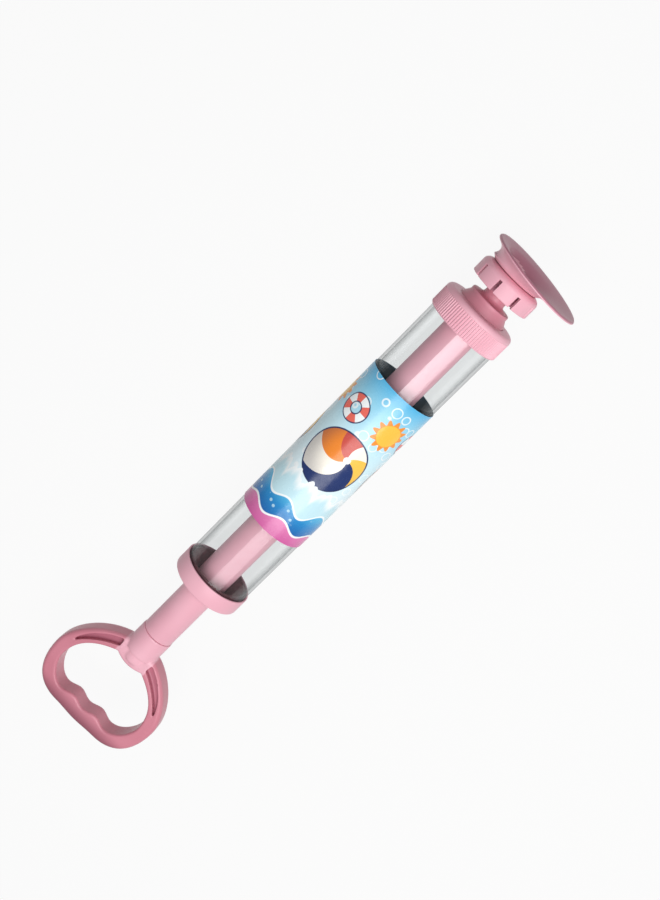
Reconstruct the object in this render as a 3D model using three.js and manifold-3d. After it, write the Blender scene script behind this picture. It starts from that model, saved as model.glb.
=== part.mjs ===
// Pump water squirter: a clear barrel, a plunger with a D handle and a turning spray head.
// Millimetres. The barrel's axis lies along X with the nozzle at +X, and Z is up.
import * as THREE from 'three';
import { mergeVertices } from 'three/addons/utils/BufferGeometryUtils.js';
import Module from 'manifold-3d';

const wasm = await Module();
wasm.setup();

// Fits
const seatGap = 0.3; // between pieces that touch
const slideGap = 0.5; // round the plunger where it slides

// Facets
const roundSteps = 44; // round each revolved piece
const curveSteps = 3; // along each curve of a revolved outline
const armSteps = 8; // along each curve of the handle
const sealSteps = 32; // round an O-ring
const sealSides = 6; // round the section of an O-ring

// Clear barrel and its label
const barrelRadius = 25;
const barrelWall = 1.8;
const barrelShown = 233.8; // length seen between the two caps
const barrelSeat = 10.8; // depth of the tube in the front cap ring
const labelLength = 125.6;
const labelCentre = 2.2; // ahead of the middle of the barrel
const labelThickness = 0.25;

// Front cap ring
const ringWall = 1.5;
const ringFrontWall = 2.8;
const ringEdge = 3.4; // radius of the front shoulder
const ribCount = 90;
const ribDepth = 0.5;
const ribInset = 0.6; // plain lip behind the ribs
const ribBury = 0.35; // how far the ribs run into the ring

// Nozzle base: flange, stepped nose, neck and outlet
const gasketThickness = 1.2;
const flangeThickness = 1.6;
const noseRadius = 17.3;
const noseStep = 1.1; // straight part in front of the ring
const noseTaper = 4;
const noseTipRadius = 14.8;
const noseTip = 1.9;
const noseEdge = 0.9;
const neckRadius = 8;
const neckFillet = 3;
const lipHeight = 1.1; // snap lip that holds the collar
const lipLength = 1.4;
const inletRadius = 5;
const jetRadius = 1.8;
const jetLength = 6;
const nozzleSeal = 1.5; // O-ring section on the neck

// Spray collar
const collarStandoff = 14.6; // collar's rear edge in front of the ring
const collarRadius = 22.1;
const collarWall = 2.1;
const collarSkirt = 8.8;
const collarDome = 4.6;
const collarFace = 14; // radius of the flat front
const collarEdge = 0.8;
const hubWall = 6.5;
const hubInset = 0.8; // hub's end behind the skirt's edge
const slotCount = 9;
const slotWidth = 2.2;
const slotLength = 7.6;
const slotTurn = 28; // degrees from straight up to one of the slots

// Spray bell: a flared dish, drawn out to one side as a lip
const stemRadius = 5.5;
const bellBack = 17.5; // radius of the back face
const bellBase = 20;
const bellFoot = 2; // height of the slope round the back face
const bellRise = 6.5; // from the base to the rim
const bellRadius = 34.6;
const bellWall = 1.7;
const bellWaist = 22.5; // radius where the flare turns outward
const bellDrop = 2; // how far the flare's turn lies under the rim
const lipReach = 11.2; // sideways shift of the rim
const lipSlope = 6.5; // degrees
const lipTurn = 152; // degrees from +Y about the axis

// Plunger
const plungerRadius = 12;
const plungerWall = 2;
const plungerLength = 297.8;
const pistonLength = 12;
const pistonPlay = 0.6; // piston to bore
const pistonRest = 0.5; // piston to flange when pushed in
const pistonSeal = 2.2; // O-ring section
const sealInset = 3; // from each end of the piston to its O-ring
const spigotLength = 18;

// Rear cap and stop ring
const capDepth = 12.8;
const capFloor = 2.5;
const capWall = 1.1;
const capEdge = 1.2;
const stopLength = 10.5;
const stopLip = 1.6; // flat rim that the piston meets
const stopFloor = 2.4; // ring's thickness behind its hollow

// Handle
const handleLength = 93.6; // from the end of the plunger tube to the grip
const handleWidth = 94.2;
const handleDepth = 16;
const handleEdge = 2.6; // rounding of the handle's edges
const edgeSteps = 3;
const socketStep = 0.5; // socket's radius over the tube's
const socketLength = 19.6;
const shoulderLength = 15.7; // from the tube's end to where the arms leave the socket
const shoulderReach = 20;
const shoulderLean = 19; // degrees
const bellyInset = 36.2; // from the grip to the widest place
const bellyReach = 15.5;
const cornerReach = 23;
const gripReach = 19;
const gripHalf = 18; // half of the grip's straight length
const gripBow = 1;
const gripBar = 11.4; // grip thickness in a finger scallop
const fingerPitch = 21.2;
const fingerRidge = 2.9;
const scallopHalf = 23.5;
const scallopSteps = 20;
const armBar = 9.9; // arm thickness at the widest place
const loopInset = 32.2; // from the grip to the loop's widest place
const loopReach = 8;
const loopCorner = 6.5;
const loopFrontReach = 18;
const bridgeLength = 28.6; // from the tube's end to the loop, beside the saddle
const saddleRise = 2.8; // how far the saddle bulges into the loop
const saddleInset = 1.2; // saddle's half width under the socket's radius
const loopLean = 24; // degrees
const loopLeanReach = 13.5;
const bossRadius = 10; // round end of the socket over the saddle
const bossRound = 5;
const grooveDepth = 4;
const grooveShare = 0.27; // place of the groove across the arm
const grooveHalf = 0.15; // half width of the groove, as a share of the arm
const grooveEnd = 0.68; // where the groove runs out along the arm
const grooveStart = 0.02;
const grooveSteps = 8;

// Colours
const pink = 0xeea9b8;
const clear = 0xe4e8ea;
const skyBlue = 0x7fcdf0;
const darkRubber = 0x463539;
const paleRubber = 0xd9d5d0;
const blackRubber = 0x2b2a2c;
const plasticRoughness = 0.38;
const clearRoughness = 0.08;
const printRoughness = 0.3;
const rubberRoughness = 0.7;
const clearOpacity = 0.3;

// Places along the axis, from the front of the barrel forward
const ringRear = barrelShown / 2;
const barrelFront = ringRear + barrelSeat;
const gasketRear = barrelFront + seatGap;
const flangeRear = gasketRear + gasketThickness + seatGap;
const flangeFront = flangeRear + flangeThickness;
const ringFace = flangeFront + seatGap;
const ringFront = ringFace + ringFrontWall;
const noseStepEnd = ringFront + noseStep;
const noseTaperEnd = noseStepEnd + noseTaper;
const noseFront = noseTaperEnd + noseTip + noseEdge;
const collarRear = ringFront + collarStandoff;
const domeRear = collarRear + collarSkirt;
const collarFront = domeRear + collarDome;
const cavityFront = collarFront - collarWall - seatGap;
const neckEnd = cavityFront - seatGap;
const lipRear = neckEnd - lipLength;
const bellRear = collarFront + seatGap;
const bellBaseEnd = bellRear + bellFoot;
const bellRim = bellBaseEnd + bellRise;

// Places from the middle of the barrel back
const capFront = -barrelShown / 2;
const capRear = capFront - capDepth;
const capInside = capRear + capFloor;
const barrelRear = capInside + seatGap;
const pistonFront = flangeRear - pistonRest;
const pistonRear = pistonFront - pistonLength;
const plungerFront = pistonRear - seatGap;
const plungerRear = plungerFront - plungerLength;
const socketFront = plungerRear - seatGap;
const socketRear = socketFront - socketLength;
const gripOuter = socketFront - handleLength;

// Radii that follow from the fits
const barrelBore = barrelRadius - barrelWall;
const ringBore = barrelRadius + seatGap;
const ringRadius = ringBore + ringWall;
const ribRoot = ringRadius - ribDepth;
const noseHole = noseRadius + seatGap;
const hubBore = neckRadius + seatGap;
const hubRadius = hubBore + hubWall;
const cavityRadius = neckRadius + lipHeight + seatGap;
const stemBore = stemRadius + seatGap;
const plungerBore = plungerRadius - plungerWall;
const spigotRadius = plungerBore - seatGap;
const socketRadius = plungerRadius + socketStep;
const guideBore = plungerRadius + slideGap;
const pistonRadius = barrelBore - pistonPlay;
const capRadius = ringBore + capWall;

// Geometry helpers

function radians(degrees) {
  return THREE.MathUtils.degToRad(degrees);
}

// Turns an outline of axial places and radii round the X axis. The outline runs forward on the outside.
function revolve(outline) {
  const points = outline.getPoints(curveSteps).map((point) => new THREE.Vector2(point.y, point.x));
  return new THREE.LatheGeometry(points, roundSteps).rotateZ(-Math.PI / 2);
}

// Outline through corners, each an axial place and a radius, closed back to the first.
function outlineOf(corners) {
  const path = new THREE.Path(corners.map(([place, radius]) => new THREE.Vector2(place, radius)));
  path.closePath();
  return path;
}

function ringBetween(rear, front, innerRadius, outerRadius) {
  const corners = [[rear, innerRadius], [rear, outerRadius], [front, outerRadius], [front, innerRadius]];
  return revolve(outlineOf(corners));
}

// A seal ring of round section
function sealRing(centre, outerRadius, section) {
  const half = section / 2;
  const path = new THREE.Path();
  path.absarc(centre, outerRadius - half, half, 0, -Math.PI * 2, true);
  const points = path.getSpacedPoints(sealSides).map((point) => new THREE.Vector2(point.y, point.x));
  return new THREE.LatheGeometry(points, sealSteps).rotateZ(-Math.PI / 2);
}

function solidOf(geometry) {
  const bare = geometry.clone();
  bare.deleteAttribute('normal');
  bare.deleteAttribute('uv');
  const merged = mergeVertices(bare);
  const triangles = [];
  for (let i = 0; i < merged.index.count; i += 3) {
    const [a, b, c] = [0, 1, 2].map((corner) => merged.index.getX(i + corner));
    if (a !== b && b !== c && c !== a) {
      triangles.push(a, b, c);
    }
  }
  const vertProperties = Float32Array.from(merged.attributes.position.array);
  const triVerts = Uint32Array.from(triangles);
  return new wasm.Manifold(new wasm.Mesh({ numProp: 3, vertProperties, triVerts }));
}

function geometryOf(solid) {
  const { vertProperties, triVerts } = solid.getMesh();
  const geometry = new THREE.BufferGeometry();
  geometry.setAttribute('position', new THREE.BufferAttribute(vertProperties, 3));
  geometry.setIndex(new THREE.BufferAttribute(triVerts, 1));
  geometry.computeVertexNormals();
  return geometry;
}

function join(...geometries) {
  return geometryOf(geometries.map(solidOf).reduce((whole, next) => whole.add(next)));
}

function cut(geometry, ...tools) {
  return geometryOf(tools.map(solidOf).reduce((whole, tool) => whole.subtract(tool), solidOf(geometry)));
}

function material(color, roughness, extra = {}) {
  return new THREE.MeshStandardMaterial({ color, roughness, metalness: 0, ...extra });
}

function piece(name, geometry, finish) {
  const mesh = new THREE.Mesh(geometry, finish);
  mesh.name = name;
  return mesh;
}

const pinkPlastic = () => material(pink, plasticRoughness);

// Barrel, label and caps

function barrelTube() {
  const finish = material(clear, clearRoughness, { transparent: true, opacity: clearOpacity });
  return piece('barrel_tube', ringBetween(barrelRear, barrelFront, barrelBore, barrelRadius), finish);
}

function barrelLabel() {
  const rear = labelCentre - labelLength / 2;
  const inner = barrelRadius + seatGap;
  const geometry = ringBetween(rear, rear + labelLength, inner, inner + labelThickness);
  return piece('barrel_label', geometry, material(skyBlue, printRoughness));
}

// Fine straight ribs round the skirt of the cap ring
function ribSleeve(rear, length) {
  const outline = new THREE.Shape();
  for (let i = 0; i < ribCount * 2; i += 1) {
    const angle = (i * Math.PI) / ribCount;
    const radius = i % 2 ? ribRoot : ringRadius;
    const point = [radius * Math.cos(angle), radius * Math.sin(angle)];
    if (i === 0) {
      outline.moveTo(...point);
    } else {
      outline.lineTo(...point);
    }
  }
  const hole = new THREE.Path();
  hole.absarc(0, 0, ribRoot - ribBury, 0, Math.PI * 2, true);
  outline.holes.push(hole);
  const settings = { depth: length, bevelEnabled: false, curveSegments: roundSteps };
  return new THREE.ExtrudeGeometry(outline, settings).rotateY(Math.PI / 2).translate(rear, 0, 0);
}

function capRing() {
  const shoulder = ringFront - ringEdge;
  const coreRadius = ribRoot - ribBury / 2;
  const profile = new THREE.Path();
  profile.moveTo(ringRear, ringBore);
  profile.lineTo(ringRear, coreRadius);
  profile.lineTo(shoulder - ribBury, coreRadius);
  profile.lineTo(shoulder - ribBury, ringRadius);
  profile.lineTo(shoulder, ringRadius);
  profile.absarc(shoulder, ringRadius - ringEdge, ringEdge, Math.PI / 2, 0, true);
  profile.lineTo(ringFront, noseHole);
  profile.lineTo(ringFace, noseHole);
  profile.lineTo(ringFace, ringBore);
  profile.closePath();
  const ribs = ribSleeve(ringRear + ribInset, shoulder - ringRear - ribInset);
  return piece('cap_ring', join(revolve(profile), ribs), pinkPlastic());
}

function frontGasket() {
  const geometry = ringBetween(gasketRear, gasketRear + gasketThickness, barrelBore, barrelRadius);
  return piece('front_gasket', geometry, material(paleRubber, rubberRoughness));
}

function rearCap() {
  const profile = new THREE.Path();
  profile.moveTo(capRear, guideBore);
  profile.lineTo(capRear, capRadius - capEdge);
  profile.absarc(capRear + capEdge, capRadius - capEdge, capEdge, Math.PI, Math.PI / 2, true);
  profile.lineTo(capFront, capRadius);
  profile.lineTo(capFront, ringBore);
  profile.lineTo(capInside, ringBore);
  profile.lineTo(capInside, guideBore);
  profile.closePath();
  return piece('rear_cap', revolve(profile), pinkPlastic());
}

// Stop ring, hollowed like a funnel towards the piston
function rearStopRing() {
  const rim = barrelBore - seatGap;
  const front = barrelRear + stopLength;
  const corners = [[barrelRear, guideBore], [barrelRear, rim], [front, rim], [front, rim - stopLip]];
  corners.push([barrelRear + stopFloor, guideBore]);
  return piece('rear_stop_ring', revolve(outlineOf(corners)), material(darkRubber, rubberRoughness));
}

// Nozzle base and spray head

const neckSealPlace = (collarRear + hubInset + lipRear) / 2;

function nozzleBase() {
  const grooveRadius = hubBore - seatGap - nozzleSeal - seatGap;
  const grooveReach = nozzleSeal / 2 + seatGap;
  const profile = new THREE.Path();
  profile.moveTo(flangeRear, inletRadius);
  profile.lineTo(flangeRear, ringBore - seatGap);
  profile.lineTo(flangeFront, ringBore - seatGap);
  profile.lineTo(flangeFront, noseRadius);
  profile.lineTo(noseStepEnd, noseRadius);
  profile.lineTo(noseTaperEnd, noseTipRadius);
  profile.lineTo(noseTaperEnd + noseTip, noseTipRadius);
  profile.quadraticCurveTo(noseFront, noseTipRadius, noseFront, noseTipRadius - noseEdge);
  profile.quadraticCurveTo(noseFront, neckRadius, noseFront + neckFillet, neckRadius);
  profile.lineTo(neckSealPlace - grooveReach, neckRadius);
  profile.lineTo(neckSealPlace - grooveReach, grooveRadius);
  profile.lineTo(neckSealPlace + grooveReach, grooveRadius);
  profile.lineTo(neckSealPlace + grooveReach, neckRadius);
  profile.lineTo(lipRear, neckRadius);
  profile.lineTo(lipRear, neckRadius + lipHeight);
  profile.lineTo(neckEnd, neckRadius);
  profile.lineTo(neckEnd, jetRadius);
  profile.lineTo(neckEnd - jetLength, jetRadius);
  profile.lineTo(noseFront, inletRadius);
  profile.closePath();
  return piece('nozzle_base', revolve(profile), pinkPlastic());
}

function nozzleORing() {
  const geometry = sealRing(neckSealPlace, hubBore - seatGap, nozzleSeal);
  return piece('nozzle_o_ring', geometry, material(blackRubber, rubberRoughness));
}

// Narrow slots, open at the rear edge of the collar's skirt
function collarSlots() {
  const slots = [];
  for (let i = 0; i < slotCount; i += 1) {
    const slot = new THREE.BoxGeometry(slotLength * 2, slotWidth, collarWall * 2);
    slot.translate(collarRear, 0, collarRadius - collarWall / 2);
    slot.rotateX(radians(slotTurn + (i * 360) / slotCount));
    slots.push(slot);
  }
  return slots;
}

function sprayCollar() {
  const skirtInside = collarRadius - collarWall;
  const profile = new THREE.Path();
  profile.moveTo(collarRear + hubInset, hubBore);
  profile.lineTo(collarRear + hubInset, hubRadius);
  profile.lineTo(cavityFront, hubRadius);
  profile.lineTo(domeRear - collarWall / 2, skirtInside);
  profile.lineTo(collarRear, skirtInside);
  profile.lineTo(collarRear, collarRadius - collarEdge);
  profile.quadraticCurveTo(collarRear, collarRadius, collarRear + collarEdge, collarRadius);
  profile.lineTo(domeRear, collarRadius);
  profile.quadraticCurveTo(collarFront, collarRadius, collarFront, collarFace);
  profile.lineTo(collarFront, stemBore);
  profile.lineTo(cavityFront, stemBore);
  profile.lineTo(cavityFront, cavityRadius);
  profile.lineTo(lipRear - seatGap, cavityRadius);
  profile.lineTo(lipRear - seatGap, hubBore);
  profile.closePath();
  return piece('spray_collar', cut(revolve(profile), ...collarSlots()), pinkPlastic());
}

// Draws the rim of the bell out to one side and tips it, more the nearer a point lies to the rim.
function drawLip(geometry) {
  const side = new THREE.Vector3(0, Math.cos(radians(lipTurn)), Math.sin(radians(lipTurn)));
  const places = geometry.attributes.position;
  const point = new THREE.Vector3();
  for (let i = 0; i < places.count; i += 1) {
    point.fromBufferAttribute(places, i);
    const rise = THREE.MathUtils.clamp((point.x - bellBaseEnd) / bellRise, 0, 1);
    const spread = THREE.MathUtils.smoothstep(Math.hypot(point.y, point.z), stemRadius, bellBack);
    const share = rise * spread;
    const along = point.dot(side);
    point.addScaledVector(side, lipReach * share);
    point.x -= Math.tan(radians(lipSlope)) * along * share;
    places.setXYZ(i, point.x, point.y, point.z);
  }
  geometry.computeVertexNormals();
  return geometry;
}

function sprayBell() {
  const stemRear = neckEnd + 2 * seatGap;
  const floor = bellBaseEnd + bellWall;
  const profile = new THREE.Path();
  profile.moveTo(stemRear, jetRadius);
  profile.lineTo(stemRear, stemRadius);
  profile.lineTo(bellRear, stemRadius);
  profile.lineTo(bellRear, bellBack);
  profile.lineTo(bellBaseEnd, bellBase);
  profile.quadraticCurveTo(bellRim - bellDrop, bellWaist, bellRim, bellRadius);
  profile.lineTo(bellRim + bellWall / 2, bellRadius);
  profile.lineTo(bellRim + bellWall, bellRadius - bellWall / 2);
  profile.quadraticCurveTo(bellRim - bellDrop + bellWall, bellWaist - bellWall, floor, bellBack - bellWall);
  profile.lineTo(floor, jetRadius);
  profile.closePath();
  return piece('spray_bell', drawLip(revolve(profile)), pinkPlastic());
}

// Plunger and piston

function plungerTube() {
  const geometry = ringBetween(plungerRear, plungerFront, plungerBore, plungerRadius);
  return piece('plunger_tube', geometry, pinkPlastic());
}

function pistonHead() {
  const grooveRadius = barrelBore - seatGap - pistonSeal - seatGap;
  const reach = pistonSeal / 2 + seatGap;
  const corners = [[pistonRear - spigotLength, 0], [pistonRear - spigotLength, spigotRadius]];
  corners.push([pistonRear, spigotRadius], [pistonRear, pistonRadius]);
  for (const place of [pistonRear + sealInset, pistonFront - sealInset]) {
    corners.push([place - reach, pistonRadius], [place - reach, grooveRadius]);
    corners.push([place + reach, grooveRadius], [place + reach, pistonRadius]);
  }
  corners.push([pistonFront, pistonRadius], [pistonFront, 0]);
  const profile = new THREE.Path(corners.map(([place, radius]) => new THREE.Vector2(place, radius)));
  return piece('piston_head', revolve(profile), pinkPlastic());
}

function pistonORing(name, place) {
  const geometry = sealRing(place, barrelBore - seatGap, pistonSeal);
  return piece(name, geometry, material(blackRubber, rubberRoughness));
}

// Handle

// Outer edge of one arm, from the socket to the handle's widest place
function armOutside() {
  const lean = radians(shoulderLean);
  const start = new THREE.Vector2(socketFront - shoulderLength, socketRadius);
  const widest = new THREE.Vector2(gripOuter + bellyInset, handleWidth / 2);
  const leave = new THREE.Vector2(-Math.sin(lean), Math.cos(lean)).multiplyScalar(shoulderReach).add(start);
  const arrive = new THREE.Vector2(widest.x + bellyReach, widest.y);
  return new THREE.CubicBezierCurve(start, leave, arrive, widest);
}

// Edge of the finger loop along one arm, from the saddle to the loop's widest place
function armInside() {
  const lean = radians(loopLean);
  const start = new THREE.Vector2(socketFront - bridgeLength, socketRadius - saddleInset);
  const widest = new THREE.Vector2(gripOuter + loopInset, handleWidth / 2 - armBar);
  const leave = new THREE.Vector2(-Math.sin(lean), Math.cos(lean)).multiplyScalar(loopLeanReach).add(start);
  const arrive = new THREE.Vector2(widest.x + loopFrontReach, widest.y);
  return new THREE.CubicBezierCurve(start, leave, arrive, widest);
}

function mirrored(points) {
  return points.map((point) => new THREE.Vector2(point.x, -point.y)).reverse();
}

function gripOutline() {
  const arm = armOutside();
  const corner = new THREE.CubicBezierCurve(
    arm.v3,
    new THREE.Vector2(arm.v3.x - cornerReach, arm.v3.y),
    new THREE.Vector2(gripOuter + gripBow, gripHalf + gripReach),
    new THREE.Vector2(gripOuter + gripBow, gripHalf),
  );
  const half = [...arm.getPoints(armSteps), ...corner.getPoints(armSteps).slice(1)];
  const middle = new THREE.Vector2(gripOuter, 0);
  return new THREE.Shape([...half, middle, ...mirrored(half)]);
}

// Inner edge of the grip at a distance from the handle's middle: a scallop for each finger
function gripInside(offset) {
  const wave = Math.sin((Math.PI * offset) / fingerPitch);
  return gripOuter + gripBar + fingerRidge * wave * wave;
}

function loopOutline() {
  const arm = armInside();
  const corner = new THREE.CubicBezierCurve(
    arm.v3,
    new THREE.Vector2(arm.v3.x - loopReach, arm.v3.y),
    new THREE.Vector2(gripInside(scallopHalf), scallopHalf + loopCorner),
    new THREE.Vector2(gripInside(scallopHalf), scallopHalf),
  );
  const half = [...arm.getPoints(armSteps), ...corner.getPoints(curveSteps).slice(1, -1)];
  const scallops = [];
  for (let i = 0; i <= scallopSteps; i += 1) {
    const offset = scallopHalf * (1 - (2 * i) / scallopSteps);
    scallops.push(new THREE.Vector2(gripInside(offset), offset));
  }
  const [start] = half;
  const bulge = new THREE.Vector2(start.x - 2 * saddleRise, 0);
  const saddle = new THREE.QuadraticBezierCurve(new THREE.Vector2(start.x, -start.y), bulge, start);
  const saddlePoints = saddle.getPoints(curveSteps).slice(1, -1);
  return new THREE.Path([...half, ...scallops, ...mirrored(half), ...saddlePoints]);
}

function gripRing() {
  const outline = gripOutline();
  outline.holes.push(loopOutline());
  const settings = {
    depth: handleDepth - 2 * handleEdge,
    bevelThickness: handleEdge,
    bevelSize: handleEdge,
    bevelOffset: -handleEdge,
    bevelSegments: edgeSteps,
  };
  const geometry = new THREE.ExtrudeGeometry(outline, settings);
  return geometry.translate(0, 0, handleEdge - handleDepth / 2);
}

// Socket that meets the plunger tube, with the spigot that plugs into it and a round boss over the saddle
function socketAndSpigot() {
  const bossRear = socketFront - bridgeLength - saddleRise / 2;
  const profile = new THREE.Path();
  profile.moveTo(bossRear, 0);
  profile.quadraticCurveTo(bossRear, bossRadius, bossRear + bossRound, bossRadius);
  profile.lineTo(socketRear, bossRadius);
  profile.lineTo(socketRear, socketRadius);
  profile.lineTo(socketFront, socketRadius);
  profile.lineTo(socketFront, spigotRadius);
  profile.lineTo(socketFront + spigotLength, spigotRadius);
  profile.lineTo(socketFront + spigotLength, 0);
  return revolve(profile);
}

// Tapered groove in one face of one arm. It is widest at the socket and runs out along the arm.
function armGroove(side, face) {
  const outside = armOutside();
  const inside = armInside();
  const edges = [[], []];
  for (let i = 0; i <= grooveSteps; i += 1) {
    const along = i / grooveSteps;
    const place = THREE.MathUtils.lerp(grooveStart, grooveEnd, along);
    const width = grooveHalf * (1 - along * along);
    [width, -width].forEach((shift, edge) => {
      const point = outside.getPoint(place).lerp(inside.getPoint(place), grooveShare - shift);
      edges[edge].push(new THREE.Vector2(point.x, point.y * side));
    });
  }
  const outline = new THREE.Shape([...edges[0], ...edges[1].slice(0, -1).reverse()]);
  const settings = { depth: grooveDepth * 2, bevelEnabled: false };
  const geometry = new THREE.ExtrudeGeometry(outline, settings);
  return geometry.translate(0, 0, (face * handleDepth) / 2 - grooveDepth);
}

function handle() {
  const grooves = [];
  for (const side of [1, -1]) {
    for (const face of [1, -1]) {
      grooves.push(armGroove(side, face));
    }
  }
  const ring = cut(gripRing(), ...grooves);
  return piece('handle', join(ring, socketAndSpigot()), pinkPlastic());
}

// Assembly

const barrel = new THREE.Group();
barrel.add(barrelTube(), barrelLabel(), capRing(), frontGasket(), nozzleBase(), nozzleORing());
barrel.add(rearCap(), rearStopRing());

const plunger = new THREE.Group();
plunger.add(plungerTube(), pistonHead(), handle());
plunger.add(pistonORing('piston_o_ring_rear', pistonRear + sealInset));
plunger.add(pistonORing('piston_o_ring_front', pistonFront - sealInset));

const sprayHead = new THREE.Group();
sprayHead.add(sprayCollar(), sprayBell());

// The origin lies under the middle of the whole squirter, at its lowest point.
const squirter = new THREE.Group();
squirter.add(barrel, plunger, sprayHead);
const extent = new THREE.Box3().setFromObject(squirter, true);
const middle = extent.getCenter(new THREE.Vector3());
squirter.position.set(-middle.x, -middle.y, -extent.min.z);

export default squirter;
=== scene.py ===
import math
import bpy
from mathutils import Euler, Matrix, Vector


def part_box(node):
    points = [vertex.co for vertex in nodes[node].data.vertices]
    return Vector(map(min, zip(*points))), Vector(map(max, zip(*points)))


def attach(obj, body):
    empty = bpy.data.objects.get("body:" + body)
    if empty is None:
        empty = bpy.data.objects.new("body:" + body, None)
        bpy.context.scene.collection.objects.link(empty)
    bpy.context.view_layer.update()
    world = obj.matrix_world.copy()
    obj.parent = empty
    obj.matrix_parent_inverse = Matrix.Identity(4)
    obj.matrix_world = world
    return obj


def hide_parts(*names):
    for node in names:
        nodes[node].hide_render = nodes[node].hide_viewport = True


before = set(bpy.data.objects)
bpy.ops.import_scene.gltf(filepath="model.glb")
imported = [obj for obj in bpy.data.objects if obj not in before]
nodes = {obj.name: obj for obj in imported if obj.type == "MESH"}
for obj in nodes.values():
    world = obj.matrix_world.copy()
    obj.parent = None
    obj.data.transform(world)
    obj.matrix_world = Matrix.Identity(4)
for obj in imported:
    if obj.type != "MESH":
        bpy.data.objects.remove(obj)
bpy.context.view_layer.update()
print("frame loaded with", len(nodes), "nodes")

mm = 0.001  # the pieces' dictionaries are in millimetres
tubeLow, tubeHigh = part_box("barrel_tube")
axisY = (tubeLow.y + tubeHigh.y) / 2
axisZ = (tubeLow.z + tubeHigh.z) / 2
closeEnough = 0.000002  # points nearer than this are one point
smoothAngle = math.radians(32)
edgeAngle = math.radians(38)  # sharper corners than this are rounded
curveSteps, roundSteps = 24, 5  # fineness of drawn outlines and of their rounded edges


# nodes of materials

mixUnder, mixOver, mixResult = 6, 7, 2  # colour sockets of a Mix node
noiseBand = (0.3, 0.7)  # most values of a noise lie between these


def feed(tree, socket, value):
    if isinstance(value, bpy.types.NodeSocket):
        tree.links.new(value, socket)
    else:
        socket.default_value = value


def calc(tree, operation, *values):
    node = tree.nodes.new("ShaderNodeMath")
    node.operation = operation
    for socket, value in zip(node.inputs, values):
        feed(tree, socket, value)
    return node.outputs[0]


def ramp(tree, value, fromLow, fromHigh, toLow=0.0, toHigh=1.0, soft=True):
    node = tree.nodes.new("ShaderNodeMapRange")
    node.interpolation_type = "SMOOTHSTEP" if soft else "LINEAR"
    for socket, given in zip(node.inputs, (value, fromLow, fromHigh, toLow, toHigh)):
        feed(tree, socket, given)
    return node.outputs[0]


def blend(tree, factor, under, over):
    node = tree.nodes.new("ShaderNodeMix")
    node.data_type = "RGBA"
    feed(tree, node.inputs[0], factor)
    feed(tree, node.inputs[mixUnder], under)
    feed(tree, node.inputs[mixOver], over)
    return node.outputs[mixResult]


def noise(tree, place, scale, detail=2.0):
    node = tree.nodes.new("ShaderNodeTexNoise")
    feed(tree, node.inputs["Vector"], place)
    node.inputs["Scale"].default_value = scale
    node.inputs["Detail"].default_value = detail
    return node.outputs["Fac"]


def cells(tree, place, scale):
    node = tree.nodes.new("ShaderNodeTexVoronoi")
    node.inputs["Scale"].default_value = scale
    tree.links.new(place, node.inputs["Vector"])
    return node.outputs["Distance"]


def bump(tree, shader, height, strength, depth):
    node = tree.nodes.new("ShaderNodeBump")
    node.inputs["Strength"].default_value = strength
    node.inputs["Distance"].default_value = depth * mm
    tree.links.new(height, node.inputs["Height"])
    tree.links.new(node.outputs[0], shader.inputs["Normal"])


def mixShaders(tree, factor, first, second):
    node = tree.nodes.new("ShaderNodeMixShader")
    feed(tree, node.inputs[0], factor)
    tree.links.new(first.outputs[0], node.inputs[1])
    tree.links.new(second.outputs[0], node.inputs[2])
    return node


def colour(red, green, blue):
    # screen values from 0 to 255, as a colour picker shows them, made linear by the sRGB curve
    def straight(value):
        share = value / 255
        return share / 12.92 if share <= 0.04045 else ((share + 0.055) / 1.055) ** 2.4
    return (straight(red), straight(green), straight(blue), 1.0)


def newMaterial(name):
    made = bpy.data.materials.new(name)
    made.use_nodes = True
    tree = made.node_tree
    place = tree.nodes.new("ShaderNodeTexCoord").outputs["Object"]
    return made, tree, tree.nodes["Principled BSDF"], place


def placeParts(tree, place):
    node = tree.nodes.new("ShaderNodeSeparateXYZ")
    tree.links.new(place, node.inputs[0])
    return node.outputs


# pink moulded plastic, with places in metres; its darker copies for the nose, the handle's ring, the bell's
# inside and the grooves are painted shade

pinkLook = {
    "pale": (colour(238, 182, 196), colour(231, 171, 186)),
    "noseShade": (colour(216, 143, 159), colour(206, 132, 148)),  # nose, a darker copy of the pale pink: painted shade on its forward faces
    "ring": (colour(214, 137, 153), colour(204, 126, 142)),  # ring of the handle, darker than its socket: painted shade
    "bell": (colour(194, 128, 147), colour(182, 116, 135)),  # inside of the bell and the hollow under the collar's skirt, darker: painted shade
    "groove": (colour(188, 112, 130), colour(176, 102, 120)),  # floor of the handle's grooves, darker: painted shade in the recess
    "socketFrom": (-0.168, -0.159), "socketWide": (0.0142, 0.0126),
    "rimShadeFrom": (-0.2105, -0.2245), "rimShadeShare": 0.8, "rim": colour(120, 62, 78),  # outer side of the grip, darkened towards its outer edge: painted shade
    "roughness": (0.36, 0.46), "handleRoughness": (0.31, 0.39), "gloss": 0.45,
    "cloudScale": 22,  # slow drift of the colour
    "satinScale": 900,
    "grainScale": 2600, "grainDetail": 3, "grainStrength": 0.12, "grainDepth": 0.05,
}


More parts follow.
